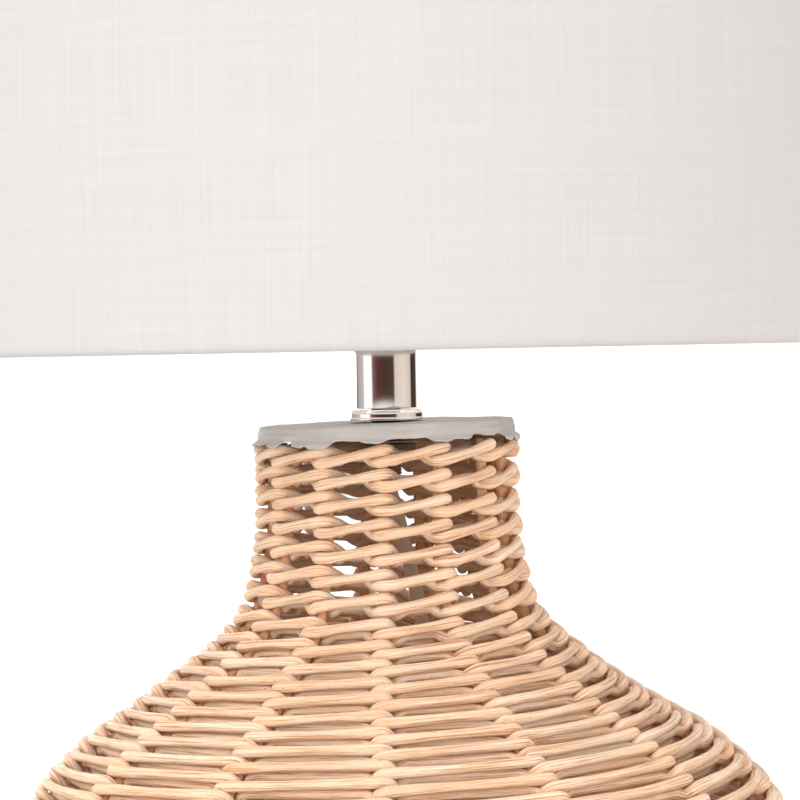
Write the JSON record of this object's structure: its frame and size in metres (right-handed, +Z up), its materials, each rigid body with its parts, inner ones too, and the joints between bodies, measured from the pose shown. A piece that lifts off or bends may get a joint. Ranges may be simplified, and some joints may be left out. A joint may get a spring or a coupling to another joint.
{
  "type": "table lamp",
  "caption": "Table lamp with a gourd-shaped woven rattan base, a painted cap, a polished neck tube and a white linen drum shade.",
  "frame": {"origin": "on the ground at the middle of the lamp, under the neck tube's axis", "axes": "+Z up along the neck tube; the lamp's front faces -Y; the flex leaves the basket low at the back"},
  "size_m": [0.35, 0.4052, 0.51],
  "materials": {
    "rattan": "peeled natural rattan rods, unvarnished, matt to satin",
    "paint": "plywood under thick white brushed paint, satin, with runs",
    "polished": "polished nickel plate",
    "zinc": "zinc-plated steel, dull",
    "ballast": "cast iron, sealed black",
    "linen": "fine white linen, plain weave with slubs",
    "lining": "white styrene backing, satin",
    "wire": "white powder-coated steel wire",
    "white_plastic": "white moulded thermoplastic",
    "porcelain": "white glazed porcelain",
    "brass": "plain stamped brass",
    "opal": "opal white glass, satin",
    "clear_flex": "clear PVC over two tinned copper conductors",
    "pad": "dark rubber, matt"
  },
  "bodies": {
    "lamp": {"base_board": "paint", "base_weight": "ballast", "bulb_base": "white_plastic", "bulb_cap": "polished", "bulb_contact": "brass", "bulb_globe": "opal", "cap_nut": "zinc", "cap_paint_runs": "paint", "cap_washer": "zinc", "cord_bush": "white_plastic", "cord_coil": "clear_flex", "cord_to_coil": "clear_flex", "cord_to_plug": "clear_flex", "cord_to_switch": "clear_flex", "foot_pad_1": "pad", "foot_pad_2": "pad", "foot_pad_3": "pad", "foot_pad_4": "pad", "holder_cap": "white_plastic", "holder_contact": "brass", "holder_core": "porcelain", "holder_shell": "white_plastic", "inner_lead": "clear_flex", "neck_flange": "polished", "neck_tube": "polished", "plug_body": "white_plastic", "plug_pin_1": "polished", "plug_pin_2": "polished", "shade_fabric": "linen", "shade_lining": "lining", "shade_ring_lower": "white_plastic", "shade_ring_upper": "white_plastic", "shade_wire_bottom": "wire", "shade_wire_top": "wire", "spider_arm_1": "wire", "spider_arm_2": "wire", "spider_arm_3": "wire", "spider_hub": "wire", "stake_01": "rattan", "stake_02": "rattan", "stake_03": "rattan", "stake_04": "rattan", "stake_05": "rattan", "stake_06": "rattan", "stake_07": "rattan", "stake_08": "rattan", "stake_09": "rattan", "stake_10": "rattan", "stake_11": "rattan", "stake_12": "rattan", "stake_13": "rattan", "strain_relief": "clear_flex", "switch_lower_case": "white_plastic", "switch_upper_case": "white_plastic", "threaded_tube": "zinc", "top_cap": "paint", "weave_body": "rattan", "weight_screw_1": "zinc", "weight_screw_2": "zinc"},
    "switch_key": {"switch_rocker": "white_plastic"}
  },
  "joints": [
    {"name": "switch_rock", "type": "hinge", "parent": "lamp", "child": "switch_key", "pos_m": [-0.088, 0.196, 0.0164], "axis": [-0.342, 0.9397, 0], "range_deg": [0, 16]}
  ]
}
